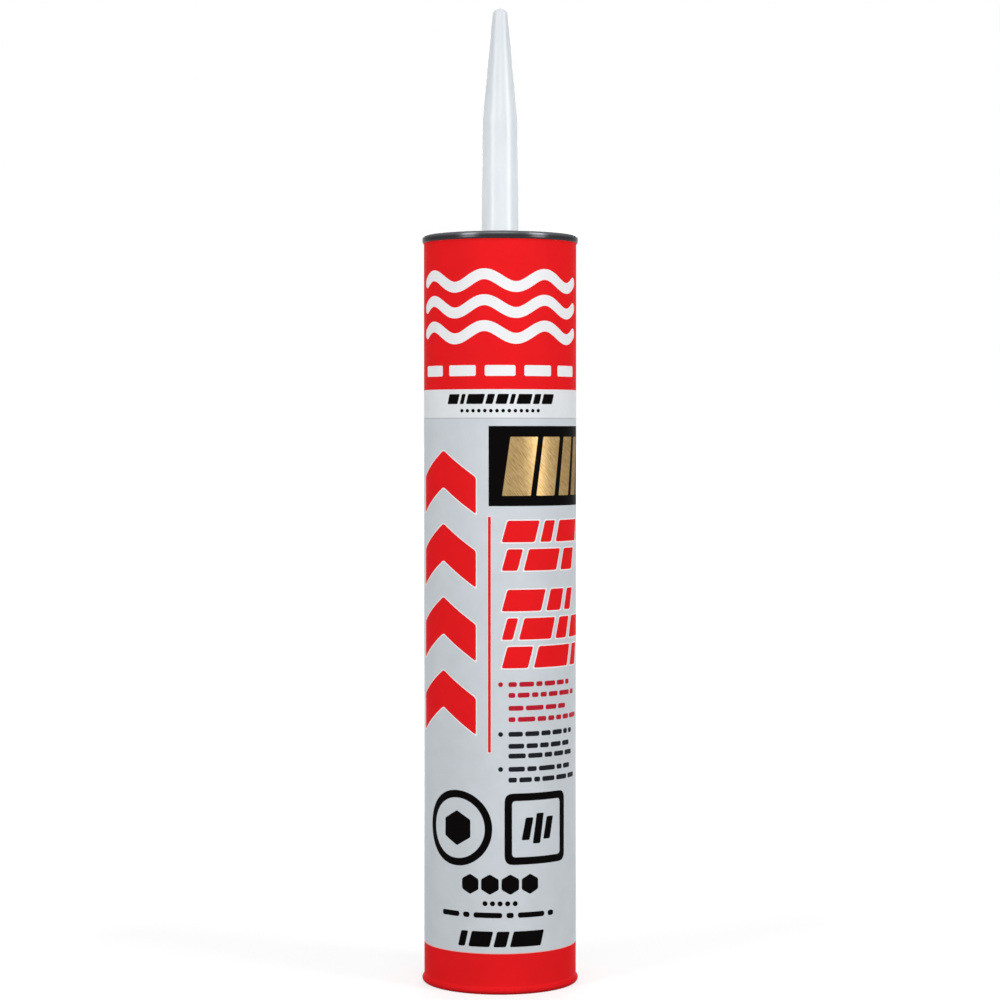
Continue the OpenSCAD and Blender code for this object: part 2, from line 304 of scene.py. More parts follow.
def new_object(name, vertices, faces):
    """An object of these vertices, in millimetres, and faces."""
    mesh = bpy.data.meshes.new(name)
    mesh.from_pydata([[c * MM for c in v] for v in vertices], [], faces)
    mesh.validate()
    obj = bpy.data.objects.new(name, mesh)
    bpy.context.scene.collection.objects.link(obj)
    return obj


def round_point(radius, height, angle):
    """The point at a radius, a height and an angle in radians from the front."""
    return (radius * math.sin(angle), -radius * math.cos(angle), height)


def lathe(name, outline, steps=LATHE_STEPS):
    """A closed outline turned round the axis. Points on the axis become one vertex."""
    outline = without_doubles(outline)
    if math.dist(outline[0], outline[-1]) < SAME_POINT:
        outline.pop()
    vertices = []
    rings = []
    for radius, height in outline:
        if radius < ON_AXIS:
            rings.append([len(vertices)] * steps)
            vertices.append((0, 0, height))
        else:
            rings.append(list(range(len(vertices), len(vertices) + steps)))
            vertices += [round_point(radius, height, 2 * math.pi * i / steps) for i in range(steps)]
    faces = []
    for low, high in zip(rings, rings[1:] + rings[:1]):
        for i in range(steps):
            j = (i + 1) % steps
            corners = [low[i], low[j], high[j], high[i]]
            face = [c for k, c in enumerate(corners) if c != corners[k - 1]]
            if len(face) > 2:
                faces.append(face)
    obj = new_object(name, vertices, faces)
    obj.data.shade_smooth()
    obj.data.set_sharp_from_angle(angle=math.radians(LATHE_SHARP))
    return obj


# Materials

def new_material(name):
    """An empty node material, and its shader."""
    mat = bpy.data.materials.new(name)
    mat.use_nodes = True
    return mat, mat.node_tree.nodes["Principled BSDF"]


def node(mat, kind, inputs=(), **settings):
    """A new node. An input's value is a number, a colour or another node's output."""
    made = mat.node_tree.nodes.new("ShaderNode" + kind)
    for key, value in settings.items():
        setattr(made, key, value)
    for key, value in dict(inputs).items():
        if isinstance(value, bpy.types.NodeSocket):
            mat.node_tree.links.new(value, made.inputs[key])
        else:
            made.inputs[key].default_value = value
    return made


def link(mat, output, target):
    """Joins an output to an input."""
    mat.node_tree.links.new(output, target)


def linear(red, green, blue):
    """A colour given in sRGB steps of 0 to 255, as the linear colour that a shader takes."""
    steps = [c / 255 for c in (red, green, blue)]
    return [c / 12.92 if c <= 0.04045 else ((c + 0.055) / 1.055) ** 2.4 for c in steps] + [1]


def shade(colour, factor):
    """A colour made darker or lighter."""
    return [min(1, c * factor) for c in colour[:3]] + [1]


def grain(mat, scale, stretch=(1, 1, 1), detail=4):
    """Noise in the object's own space. Scale counts features a millimetre."""
    place = node(mat, "TexCoord").outputs["Object"]
    moved = node(mat, "Mapping", {"Vector": place, "Scale": [s * scale / MM for s in stretch]})
    noise = node(mat, "TexNoise", {"Vector": moved.outputs[0], "Scale": 1, "Detail": detail})
    return noise.outputs["Fac"]


def coordinates(mat):
    """The object's own coordinates, one output for each axis."""
    return node(mat, "SeparateXYZ", {"Vector": node(mat, "TexCoord").outputs["Object"]}).outputs


def between(mat, factor, colour_low, colour_high, low=GRAIN_LOW, high=GRAIN_HIGH):
    """A colour that follows a factor as it goes from low to high."""
    ramp = node(mat, "ValToRGB", {"Fac": factor})
    ramp.color_ramp.elements[0].position = low
    ramp.color_ramp.elements[1].position = high
    ramp.color_ramp.elements[0].color = colour_low
    ramp.color_ramp.elements[1].color = colour_high
    return ramp.outputs["Color"]


def value_between(mat, factor, low, high):
    """A number that follows a grain from low to high."""
    inputs = {"Value": factor, "From Min": GRAIN_LOW, "From Max": GRAIN_HIGH, "To Min": low, "To Max": high}
    return node(mat, "MapRange", inputs).outputs["Result"]


def height_blend(mat, height, first, last, colour_low, colour_high):
    """A mix of two colours that goes from one to the other between two heights in millimetres."""
    rise = node(mat, "MapRange", {"Value": height, "From Min": first * MM, "From Max": last * MM})
    inputs = {"Factor": rise.outputs["Result"], "A": colour_low, "B": colour_high}
    return node(mat, "Mix", inputs, data_type="RGBA").outputs["Result"]


def bump(mat, shader, height, depth):
    """Relief from a height of 0 to 1, depth in millimetres."""
    made = node(mat, "Bump", {"Height": height, "Distance": depth * MM, "Strength": 1.0})
    link(mat, made.outputs["Normal"], shader.inputs["Normal"])


def ink(name, colour, roughness, gloss):
    """Print on coated paper under a satin varnish, with slight mottle, print grain and fibre."""
    mat, shader = new_material(name)
    mottle = grain(mat, 0.12, detail=3)
    link(mat, between(mat, mottle, shade(colour, 0.965), shade(colour, 1.02)),
         shader.inputs["Base Color"])
    fine = grain(mat, 2.2, (1, 1, 0.55), detail=5)
    link(mat, value_between(mat, fine, roughness - 0.05, roughness + 0.06), shader.inputs["Roughness"])
    shader.inputs["Specular IOR Level"].default_value = gloss
    bump(mat, shader, grain(mat, 3.5, (1, 1, 0.4), detail=4), 0.006)
    return mat


def gold_foil():
    """Hot-stamped gold foil with a slanting brushed grain."""
    mat, shader = new_material("gold_foil")
    lean = math.radians(52)
    length = 3.2 * MM
    width = 0.22 * MM
    place = node(mat, "TexCoord").outputs["Object"]
    turned = node(mat, "Mapping", {"Vector": place, "Rotation": (0, lean, 0),
                                   "Scale": (length, length, width)}, vector_type="TEXTURE")
    brushed = node(mat, "TexNoise", {"Vector": turned.outputs[0], "Scale": 1, "Detail": 4}).outputs["Fac"]
    link(mat, between(mat, brushed, linear(132, 106, 66), linear(180, 153, 107), 0.32, 0.68),
         shader.inputs["Base Color"])
    shader.inputs["Metallic"].default_value = 1
    shader.inputs["Specular Tint"].default_value = (0.5, 0.47, 0.47, 1)
    link(mat, value_between(mat, brushed, 0.28, 0.4), shader.inputs["Roughness"])
    bump(mat, shader, brushed, 0.01)
    return mat


def paperboard():
    """Kraft board with flecks, fibre and the butt joints of its spiral plies."""
    mat, shader = new_material("paperboard")
    fibre = grain(mat, 1.6, (1, 1, 0.35), detail=6)
    base = between(mat, fibre, linear(150, 112, 74), linear(190, 152, 108))
    place = coordinates(mat)
    turn = node(mat, "Math", {0: place["X"], 1: place["Y"]}, operation="ARCTAN2")
    turns = node(mat, "Math", {0: turn.outputs[0], 1: 1 / (2 * math.pi)}, operation="MULTIPLY")
    rise = node(mat, "Math", {0: place["Z"], 1: 1 / (PLY_CLIMB * MM), 2: turns.outputs[0]},
                operation="MULTIPLY_ADD")
    ply = node(mat, "Math", {0: rise.outputs[0], 1: 0.5}, operation="PINGPONG")
    joint = node(mat, "MapRange", {"Value": ply.outputs[0], "From Min": 0, "From Max": PLY_JOINT})
    joined = node(mat, "Mix", {"Factor": joint.outputs["Result"], "A": linear(112, 80, 50), "B": base},
                  data_type="RGBA")
    link(mat, joined.outputs["Result"], shader.inputs["Base Color"])
    link(mat, value_between(mat, fibre, 0.72, 0.9), shader.inputs["Roughness"])
    shader.inputs["Specular IOR Level"].default_value = 0.25
    bump(mat, shader, fibre, 0.04)
    return mat


def tinplate():
    """Dark lacquered tinplate with fine rings from its forming, and a painted highlight on the seam's
    shoulder.
    """
    mat, shader = new_material("tinplate")
    place = coordinates(mat)
    squares = [node(mat, "Math", {0: place[k], 1: 2}, operation="POWER").outputs[0] for k in "XY"]
    total = node(mat, "Math", {0: squares[0], 1: squares[1]})
    radius = node(mat, "Math", {0: total.outputs[0]}, operation="SQRT")
    rings = node(mat, "CombineXYZ", {"X": radius.outputs[0], "Z": place["Z"]})
    noise = node(mat, "TexNoise", {"Vector": rings.outputs[0], "Scale": 6 / MM, "Detail": 3}).outputs["Fac"]
    lacquer = between(mat, noise, linear(44, 44, 47), linear(56, 56, 59))
    # Painted highlight: a brighter colour on the seam's shoulder, where light from above would catch it
    painted_highlight = between(mat, noise, linear(100, 101, 104), linear(116, 117, 120))
    mixed = height_blend(mat, place["Z"], SEAM_SHOULDER_Z - HIGHLIGHT_UNDER_SHOULDER,
                         BODY_HEIGHT - HIGHLIGHT_UNDER_TOP, lacquer, painted_highlight)
    link(mat, mixed, shader.inputs["Base Color"])
    shader.inputs["Metallic"].default_value = 1
    shader.inputs["Specular Tint"].default_value = (0.58, 0.58, 0.58, 1)
    link(mat, value_between(mat, grain(mat, 0.8), 0.2, 0.26), shader.inputs["Roughness"])
    bump(mat, shader, noise, 0.003)
    return mat


def nozzle_plastic():
    """Milky polyethylene with painted shade, lighter at its base and greyer towards its tip, and faint flow
    marks along it.
    """
    mat, shader = new_material("nozzle_plastic")
    cloud = grain(mat, 0.15, (1, 1, 0.3), detail=3)
    # Painted light and shade: a lighter colour near the base and a greyer one near the tip
    low = between(mat, cloud, linear(229, 236, 241), linear(235, 241, 246))
    high = between(mat, cloud, linear(203, 208, 213), linear(209, 214, 219))
    mixed = height_blend(mat, coordinates(mat)["Z"], BODY_HEIGHT, NOZZLE_TOP - SHADE_UNDER_TIP, low, high)
    link(mat, mixed, shader.inputs["Base Color"])
    link(mat, value_between(mat, grain(mat, 1.2, (1, 1, 0.15)), 0.28, 0.34), shader.inputs["Roughness"])
    shader.inputs["Subsurface Weight"].default_value = 0.3
    shader.inputs["Subsurface Radius"].default_value = (1.0, 1.0, 1.0)
    shader.inputs["Subsurface Scale"].default_value = 2.5 * MM
    bump(mat, shader, grain(mat, 0.9, (1, 1, 0.12), detail=3), 0.008)
    return mat


def plunger_plastic():
    """Matte moulded polyethylene."""
    mat, shader = new_material("plunger_plastic")
    cloud = grain(mat, 0.2, detail=3)
    link(mat, between(mat, cloud, linear(226, 223, 212), linear(236, 234, 225)),
         shader.inputs["Base Color"])
    link(mat, value_between(mat, grain(mat, 2.5), 0.45, 0.6), shader.inputs["Roughness"])
    bump(mat, shader, grain(mat, 2.5), 0.012)
    return mat


def foil():
    """Rolled aluminium foil with shallow crinkles."""
    mat, shader = new_material("foil")
    crinkle = grain(mat, 0.35, detail=5)
    link(mat, between(mat, crinkle, linear(196, 198, 200), linear(226, 228, 230)),
         shader.inputs["Base Color"])
    shader.inputs["Metallic"].default_value = 1
    link(mat, value_between(mat, crinkle, 0.2, 0.34), shader.inputs["Roughness"])
    bump(mat, shader, crinkle, 0.05)
    return mat


def paste():
    """Tan construction adhesive, a smooth wet paste with fine filler."""
    mat, shader = new_material("adhesive")
    filler = grain(mat, 1.1, detail=5)
    link(mat, between(mat, filler, linear(176, 152, 112), linear(204, 182, 142)),
         shader.inputs["Base Color"])
    link(mat, value_between(mat, filler, 0.3, 0.5), shader.inputs["Roughness"])
    bump(mat, shader, filler, 0.05)
    return mat


# The print. Its shapes lie on the flat label: across counts along the body from the front, up is the
# height on the straight body. They are painted in order, so a later shape covers an earlier one.

shapes = []


def across(angle):
    """Length along the body from the front to an angle."""
    return math.radians(angle) * BODY_RADIUS


def paint(ink_name, outline):
    """Adds a closed outline in one ink."""
    shapes.append((ink_name, outline))


def softened(corners, radius, steps=4):
    """A closed outline with its corners rounded."""
    points = []
    count = len(corners)
    for i in range(count):
        before, corner, after = (Vector(corners[(i + k) % count]) for k in (-1, 0, 1))
        start = corner + (before - corner).normalized() * min(radius, (before - corner).length / 2)
        end = corner + (after - corner).normalized() * min(radius, (after - corner).length / 2)
        for k in range(steps + 1):
            t = k / steps
            points.append(start * (1 - t) ** 2 + corner * 2 * t * (1 - t) + end * t ** 2)
    return without_doubles([tuple(p) for p in points])


def box(x0, x1, z0, z1, radius):
    """A rectangle with rounded corners."""
    return softened([(x0, z0), (x1, z0), (x1, z1), (x0, z1)], radius)


def slanted(x0, x1, z0, z1, lean, radius):
    """A parallelogram whose top is shifted by lean, with rounded corners."""
    return softened([(x0, z0), (x1, z0), (x1 + lean, z1), (x0 + lean, z1)], radius)


def disc(x, z, radius, steps=20):
    """A circle."""
    turns = [2 * math.pi * i / steps for i in range(steps)]
    return [(x + radius * math.cos(a), z + radius * math.sin(a)) for a in turns]


def hexagon(x, z, radius):
    """A hexagon with a corner at its top."""
    turns = [math.radians(30 + 60 * i) for i in range(6)]
    return softened([(x + radius * math.cos(a), z + radius * math.sin(a)) for a in turns], radius=0.6)


def chevron(x0, x1, z0, rise, thick, grow):
    """A chevron that points up, and grow wider all round."""
    mid = (x0 + x1) / 2
    slope = math.hypot(rise, mid - x0) / (mid - x0)
    low = z0 - grow * slope
    high = z0 + thick + grow * slope
    left = x0 - grow
    right = x1 + grow
    drop = grow * rise / (mid - x0)
    return softened([(left, low - drop), (mid, low + rise), (right, low - drop),
                     (right, high - drop), (mid, high + rise), (left, high - drop)], radius=1.2)


def wave(x0, x1, z, swing, length, width, steps=120, end_steps=10):
    """A wavy line with round ends."""
    def middle(t):
        x = x0 + (x1 - x0) * t
        turn = 2 * math.pi * (x - x0) / length
        rise = swing * 2 * math.pi / length * math.cos(turn)
        return Vector((x, z + swing * math.sin(turn))), Vector((1, rise))

    sides = [[], []]
    for i in range(steps + 1):
        point, along = middle(i / steps)
        normal = Vector((-along.y, along.x)).normalized()
        sides[0].append(tuple(point + normal * width / 2))
        sides[1].append(tuple(point - normal * width / 2))
    ends = []
    for t, sign in ((1, 1), (0, -1)):
        point, along = middle(t)
        heading = math.atan2(along.y * sign, along.x * sign)
        turns = [heading - math.pi / 2 + math.pi * k / end_steps for k in range(1, end_steps)]
        ends.append([(point.x + width / 2 * math.cos(a), point.y + width / 2 * math.sin(a)) for a in turns])
    return sides[1] + ends[0] + sides[0][::-1] + ends[1]


def edged(ink_name, shape, edge, **sizes):
    """A shape with a thin white edge round it."""
    paint("white", shape(grow=edge, **sizes))
    paint(ink_name, shape(grow=0, **sizes))


def dashes(ink_name, x, z0, z1, lengths, gap, radius):
    """A row of bars of the given lengths, from x on."""
    for length in lengths:
        paint(ink_name, box(x, x + length, z0, z1, radius))
        x += length + gap


def slanted_row(ink_name, x, z0, z1, lengths, gap, lean, radius):
    """A row of leaning bars of the given lengths, from x on."""
    for length in lengths:
        paint(ink_name, slanted(x, x + length, z0, z1, lean, radius))
        x += length + gap


def dots(ink_name, z, radius, pitch, count):
    """A row of dots about the front."""
    for i in range(count):
        paint(ink_name, disc((i - (count - 1) / 2) * pitch, z, radius))


def plank(x0, x1, z0, z1, lean, grow):
    """A leaning bar with rounded corners, grow wider all round."""
    shift = lean * grow / (z1 - z0)
    return slanted(x0 - grow - shift, x1 + grow - shift, z0 - grow, z1 + grow, lean + 2 * shift, radius=0.9)


def lay_out_bands(profile_low, profile_top):
    """The bands that go all round, from the foot to the seam."""
    left = across(-180) - LABEL_LAP
    right = across(180) + LABEL_LAP
    bands = [
        # Painted shade: the foot bead gets the darker red
        ("shaded_bead_red", profile_low, BEAD_TOP),
        ("red", BEAD_TOP, FOOT_BAND),
        ("pink", FOOT_BAND, FOOT_BAND + HAIRLINE),
        ("grey", FOOT_BAND + HAIRLINE, TITLE_BAND_LOW),
        ("line", TITLE_BAND_LOW, TITLE_BAND_LOW + HAIRLINE),
        ("pale", TITLE_BAND_LOW + HAIRLINE, HEAD_BAND_LOW),
        ("red", HEAD_BAND_LOW, profile_top),
    ]
    for name, low, high in bands:
        paint(name, [(left, low), (right, low), (right, high), (left, high)])


def lay_out_head():
    """White wavy lines and a broken bar on the red head band."""
    reach = 39
    for z in (291, 280.5, 270):
        paint("white", wave(-reach, reach, z, swing=2.6, length=26, width=4.4))
    dashes("white", -reach, 252.2, 256.6, [12.6] * 5, gap=3.75, radius=0.8)


def lay_out_title():
    """A row of small leaning planks and one of dots on the title band."""
    lengths = [5.2, 1.8, 7.2, 3.0, 4.6, 1.8, 6.0, 3.0, 5.4]
    slanted_row("black", -23.6, 240.8, 244.9, lengths, gap=1.1, lean=1.1, radius=0.5)
    dots("black", 238.1, radius=0.75, pitch=2.5, count=14)


def lay_out_chevrons():
    """Large red chevrons with white edges up the left side."""
    lowest = 106
    pitch = 30
    for i in range(4):
        edged("red", chevron, edge=0.45, x0=-42, x1=-10, z0=lowest + pitch * i, rise=11, thick=15)


def lay_out_panel():
    """Black panel with slanting gold stripes, and the red rule under it."""
    paint("black", box(across(PANEL_START), across(PANEL_END), PANEL_LOW, PANEL_TOP, radius=0.05))
    lengths = [12, 9.2, 7, 5.2, 3.8, 2.6]
    slanted_row("gold", 0.8, PANEL_LOW + 4.2, PANEL_TOP - 4.4, lengths, gap=2.6, lean=3.4, radius=0.4)
    rule = across(RULE_ANGLE)
    for ink_name, half, low, high in (("white", 0.8, 98.8, 195.2), ("red", 0.6, 99, 195)):
        paint(ink_name, box(rule - half, rule + half, low, high, radius=0.1))


def lay_out_planks():
    """Rows of leaning red planks with white edges right of the rule."""
    rows = [
        (184.6, [14, 5.5, 17, 9]),
        (173.0, [6.5, 16, 9]),
        (156.5, [17, 8, 5]),
        (144.9, [4.5, 15, 7, 17]),
        (133.3, [11, 19, 6]),
    ]
    first = 0.6
    gap = 2.6
    height = 8.8
    for z, lengths in rows:
        x = first
        for length in lengths:
            edged("red", plank, edge=0.5, x0=x, x1=x + length, z0=z, z1=z + height, lean=2.4)
            x += length + gap


def lay_out_small_print(draw):
    """Rows of fine dashes with a bullet before each group of rows."""
    groups = [
        ("crimson", [126.7, 122.3], 38),
        ("crimson", [117.0, 112.4], 36),
        ("ink", [106.4], 40),
        ("ink", [101.5, 97.5], 38),
        ("ink", [92.1, 87.7], 34),
    ]
    first = 3.4
    gap = 1
    half_height = 1
    for name, rows, reach in groups:
        for z in rows:
            x = first
            end = x + reach * draw.uniform(0.75, 1.0)
            while x < end:
                length = draw.uniform(2.6, 8.5)
                paint(name, box(x, x + length, z - half_height, z + half_height, radius=0.8))
                x += length + gap
    for name, rows, _ in groups[::2]:
        paint(name, disc(0.2, rows[0], radius=1))


def lay_out_marks():
    """Two heavy black frames, a ring round a hexagon and a square round three leaning planks."""
    for ink_name, radius in (("black", 15.5), ("grey", 12.4)):
        paint(ink_name, disc(MARK_LEFT, MARK_HEIGHT, radius, steps=72))
    paint("black", hexagon(MARK_LEFT, MARK_HEIGHT, radius=7.2))
    for ink_name, reach, corner in (("black", 14.6, 3.6), ("grey", 11.5, 1.6)):
        paint(ink_name, box(MARK_RIGHT - reach, MARK_RIGHT + reach,
                            MARK_HEIGHT - reach, MARK_HEIGHT + reach, corner))
    lean = 1.8
    pitch = 4.9
    half_width = 1.7
    for i, reach in ((-1, 4.6), (0, 6.2), (1, 4.6)):
        x = MARK_RIGHT + pitch * i - lean / 2
        paint("black", slanted(x - half_width, x + half_width,
                               MARK_HEIGHT - reach, MARK_HEIGHT + reach, lean, radius=0.6))


def lay_out_foot():
    """Hexagons, dots, dashes and heavy leaning bars above the foot band."""
    first = -12.6
    pitch = 8.4
    for i in range(4):
        paint("black", hexagon(first + pitch * i, 45, radius=4.2))
    dots("black", 37.2, radius=1.05, pitch=3.1, count=5)
    dashes("black", -26.5, 31.3, 33.5, [9, 3, 12, 3, 12, 3], gap=1.7, radius=1.1)
    slanted_row("black", -18.2, 19.4, 25.8, [3.2, 9, 5.2, 13.5], gap=1.6, lean=1.6, radius=0.7)


class LabelSurface:
    """The outside of the label, as a flat sheet that wraps round the profile of the body.

    Up is the height on the straight body, and goes on along the profile below and above it.
    """

    def __init__(self):
        self.points = without_doubles(foot_line(LABEL_THICKNESS) + neck_line(LABEL_THICKNESS))
        self.inner = without_doubles(foot_line(0) + neck_line(0))
        straight = next(i for i, p in enumerate(self.points) if abs(p[0] - BODY_RADIUS) < SAME_POINT)
        self.ups = [self.points[straight][1]]
        for k in range(straight, 0, -1):
            self.ups.insert(0, self.ups[0] - math.dist(self.points[k], self.points[k - 1]))
        for k in range(straight + 1, len(self.points)):
            self.ups.append(self.ups[-1] + math.dist(self.points[k - 1], self.points[k]))
        self.start = across(-180) + LABEL_LAP / 2
        self.end = self.start + 2 * math.pi * BODY_RADIUS
        self.step = (self.end - self.start) / LABEL_COLUMNS

    def lift(self, x):
        """How far the lapped end stands off the body, at a length round it."""
        lap_start = self.end - LABEL_LAP
        t = min(1, max(0, (x - lap_start) / LAP_CLIMB))
        return LABEL_THICKNESS * t * t * (3 - 2 * t)

    def place(self, x, up):
        """The point on the body and its normal."""
        k = 1
        while k < len(self.ups) - 1 and self.ups[k] < up - CUT_TOLERANCE:
            k += 1
        low, high = self.points[k - 1], self.points[k]
        t = (up - self.ups[k - 1]) / (self.ups[k] - self.ups[k - 1])
        slope = (self.slope(k - 1)[0] * (1 - t) + self.slope(k)[0] * t,
                 self.slope(k - 1)[1] * (1 - t) + self.slope(k)[1] * t)
        angle = x / BODY_RADIUS
        radius = low[0] + (high[0] - low[0]) * t + self.lift(x)
        height = low[1] + (high[1] - low[1]) * t
        normal = Vector((slope[1] * math.sin(angle), -slope[1] * math.cos(angle), -slope[0])).normalized()
        return round_point(radius, height, angle), normal

    def slope(self, k):
        """Direction of the profile at one of its points. It is upright where the neck begins."""
        if abs(self.ups[k] - NECK_LOW) < SAME_POINT:
            return (0, 1)
        before, after = self.points[max(0, k - 1)], self.points[min(len(self.points) - 1, k + 1)]
        run = (after[0] - before[0], after[1] - before[1])
        return (run[0] / math.hypot(*run), run[1] / math.hypot(*run))


def lay_out_print(surface):
    """All the print, from the bands to what lies over them."""
    beyond = 1
    lay_out_bands(surface.ups[0] - beyond, surface.ups[-1] + beyond)
    lay_out_head()
    lay_out_title()
    lay_out_chevrons()
    lay_out_panel()
    lay_out_planks()
    lay_out_small_print(random.Random(7))
    lay_out_marks()
    lay_out_foot()


def cut_sheet(surface):
    """The flat sheet cut along its grid and its print: points, triangles and each triangle's ink.

    The grid has columns that follow the round body, and rows at each bend of the profile and at even
    heights between.
    """
    low, high = surface.ups[0], surface.ups[-1]
    points = [(surface.start, low), (surface.end, low), (surface.end, high), (surface.start, high)]
    faces = [[0, 1, 2, 3]]
    names = ["grey"]
    edges = []
    for i in range(1, LABEL_COLUMNS):
        x = surface.start + surface.step * i
        edges.append((len(points), len(points) + 1))
        points += [(x, low), (x, high)]
    rows = int((NECK_TOP - FOOT_BAND) / ROW_HEIGHT)
    for up in surface.ups[1:-1] + [FOOT_BAND + ROW_HEIGHT * i for i in range(1, rows)]:
        edges.append((len(points), len(points) + 1))
        points += [(surface.start, up), (surface.end, up)]
    for name, outline in shapes:
        inside = [(min(max(x, surface.start), surface.end), min(max(z, low), high)) for x, z in outline]
        area = sum(a[0] * b[1] - b[0] * a[1] for a, b in zip(inside, inside[1:] + inside[:1]))
        if area < 0:
            inside.reverse()
        faces.append(list(range(len(points), len(points) + len(inside))))
        names.append(name)
        points += inside
    inside_only = 1
    found = delaunay_2d_cdt([Vector(p) for p in points], edges, faces, inside_only, CUT_TOLERANCE)
    flat, triangles, owners = found[0], found[2], found[5]
    return flat, triangles, [names[max(owner)] for owner in owners]


def paper_faces(surface, flat, vertices):
    """Faces of the bare paper: the back, the cut edges at the foot and the neck, and the lap's ends.

    The vertices of the back are added to those of the flat sheet, on the same columns.
    """
    def edge_of_sheet(axis, value):
        found = [i for i, p in enumerate(flat) if abs(p[axis] - value) < 2 * SAME_POINT]
        return sorted(found, key=lambda i: flat[i][1 - axis])

    low_edge = edge_of_sheet(1, surface.ups[0])
    high_edge = edge_of_sheet(1, surface.ups[-1])
    first_edge = edge_of_sheet(0, surface.start)
    last_edge = edge_of_sheet(0, surface.end)
    rings = []
    for radius, height in surface.inner:
        rings.append(list(range(len(vertices), len(vertices) + LABEL_COLUMNS)))
        vertices += [round_point(radius, height, (surface.start + surface.step * i) / BODY_RADIUS)
                     for i in range(LABEL_COLUMNS)]
    faces = []
    for low, high in zip(rings, rings[1:]):
        for i in range(LABEL_COLUMNS):
            j = (i + 1) % LABEL_COLUMNS
            faces.append([low[j], low[i], high[i], high[j]])
    for i in range(LABEL_COLUMNS):
        j = (i + 1) % LABEL_COLUMNS
        last = i == LABEL_COLUMNS - 1
        low_join = [low_edge[0]] if last else []
        high_join = [high_edge[0]] if last else []
        faces.append([rings[0][i], rings[0][j]] + low_join + [low_edge[i + 1], low_edge[i]])
        faces.append([rings[-1][j], rings[-1][i], high_edge[i], high_edge[i + 1]] + high_join)
    for k in range(len(first_edge) - 1):
        faces.append([first_edge[k], last_edge[k], last_edge[k + 1], first_edge[k + 1]][::-1])
    return faces


def make_label():
    """The printed label: its print cut into the outer skin, with the paper's edges and back."""
    surface = LabelSurface()
    lay_out_print(surface)
    flat, triangles, ink_names = cut_sheet(surface)
    placed = [surface.place(p.x, p.y) for p in flat]
    vertices = [point for point, _ in placed]
    plain = paper_faces(surface, flat, vertices)
    obj = new_object("printed_label", vertices, [list(t) for t in triangles] + plain)
    mesh = obj.data
    for name, (colour, roughness, gloss) in INKS.items():
        mesh.materials.append(ink("print_" + name, linear(*colour), roughness, gloss))
    mesh.materials.append(gold_foil())
    mesh.materials.append(ink("label_paper", linear(236, 233, 226), roughness=0.6, gloss=0.1))
    slots = list(INKS) + ["gold", "paper"]
    for polygon, name in zip(mesh.polygons, ink_names + ["paper"] * len(plain)):
        polygon.material_index = slots.index(name)
    mesh.shade_smooth()
    mesh.set_sharp_from_angle(angle=math.radians(LABEL_SHARP))
    normals = [placed[v][1] for triangle in triangles for v in triangle]
    for polygon in mesh.polygons[len(triangles):]:
        normals += [polygon.normal.copy()] * polygon.loop_total
    mesh.normals_split_custom_set(normals)
    return obj


# The other pieces

def make_tube():
    """Spiral-wound board: a rolled foot bead, a straight bore and a flange clinched in the seam."""
    outline = [(BEAD_CENTRE[0] - FOOT_LAND, 0)] + foot_line(0) + neck_line(0) + [
        (NECK_END, FLANGE_LOW),
        (FLANGE_RADIUS, FLANGE_LOW + FLANGE_SLOPE),
        (FLANGE_RADIUS, SEAM_SHOULDER_Z),
        (TUBE_TOP_OUTER, TUBE_TOP),
        (TUBE_INNER + TUBE_TOP_CHAMFER, TUBE_TOP),
        (TUBE_INNER, SEAM_CORNER_Z),
        (TUBE_INNER, MOUTH_FLARE_HEIGHT),
    ]
    obj = lathe("board_tube", outline)
    obj.data.materials.append(paperboard())
    return obj


def make_top_end():
    """Tinplate end: collar, plateau, panel, countersink groove and the seam rolled over the tube."""
    slope = math.radians(PLATEAU_SLOPE)
    step_line = (PLATEAU_RISE - 2 * PANEL_BEND * (1 - math.cos(slope))) / math.sin(slope)
    step_run = 2 * PANEL_BEND * math.sin(slope) + step_line * math.cos(slope)
    bends = [
        ((COLLAR_LINE, COLLAR_TOP), 0, 180, 180),
        ((COLLAR_LINE + PANEL_BEND, PLATEAU_LINE + PANEL_BEND), PANEL_BEND, 180, 270),
        ((PLATEAU_RADIUS, PLATEAU_LINE - PANEL_BEND), PANEL_BEND, 90, 90 - PLATEAU_SLOPE),
        ((PLATEAU_RADIUS + step_run, PANEL_LINE + PANEL_BEND), PANEL_BEND, 270 - PLATEAU_SLOPE, 270),
        ((GROOVE_INNER_LINE - PANEL_BEND, PANEL_LINE - PANEL_BEND), PANEL_BEND, 90, 0),
        (GROOVE_CENTRE, GROOVE_RADIUS, 180, 360),
        ((CHUCK_LINE + SEAM_CORNER, SEAM_CORNER_Z), SEAM_CORNER, 180, 90),
        ((SEAM_LINE - SEAM_SHOULDER, SEAM_SHOULDER_Z), SEAM_SHOULDER, 90, 0),
        (CURL_CENTRE, SEAM_CURL, 0, -CURL_TURN),
    ]
    obj = lathe("metal_end", strip(bends, SHEET))
    obj.data.materials.append(tinplate())
    return obj


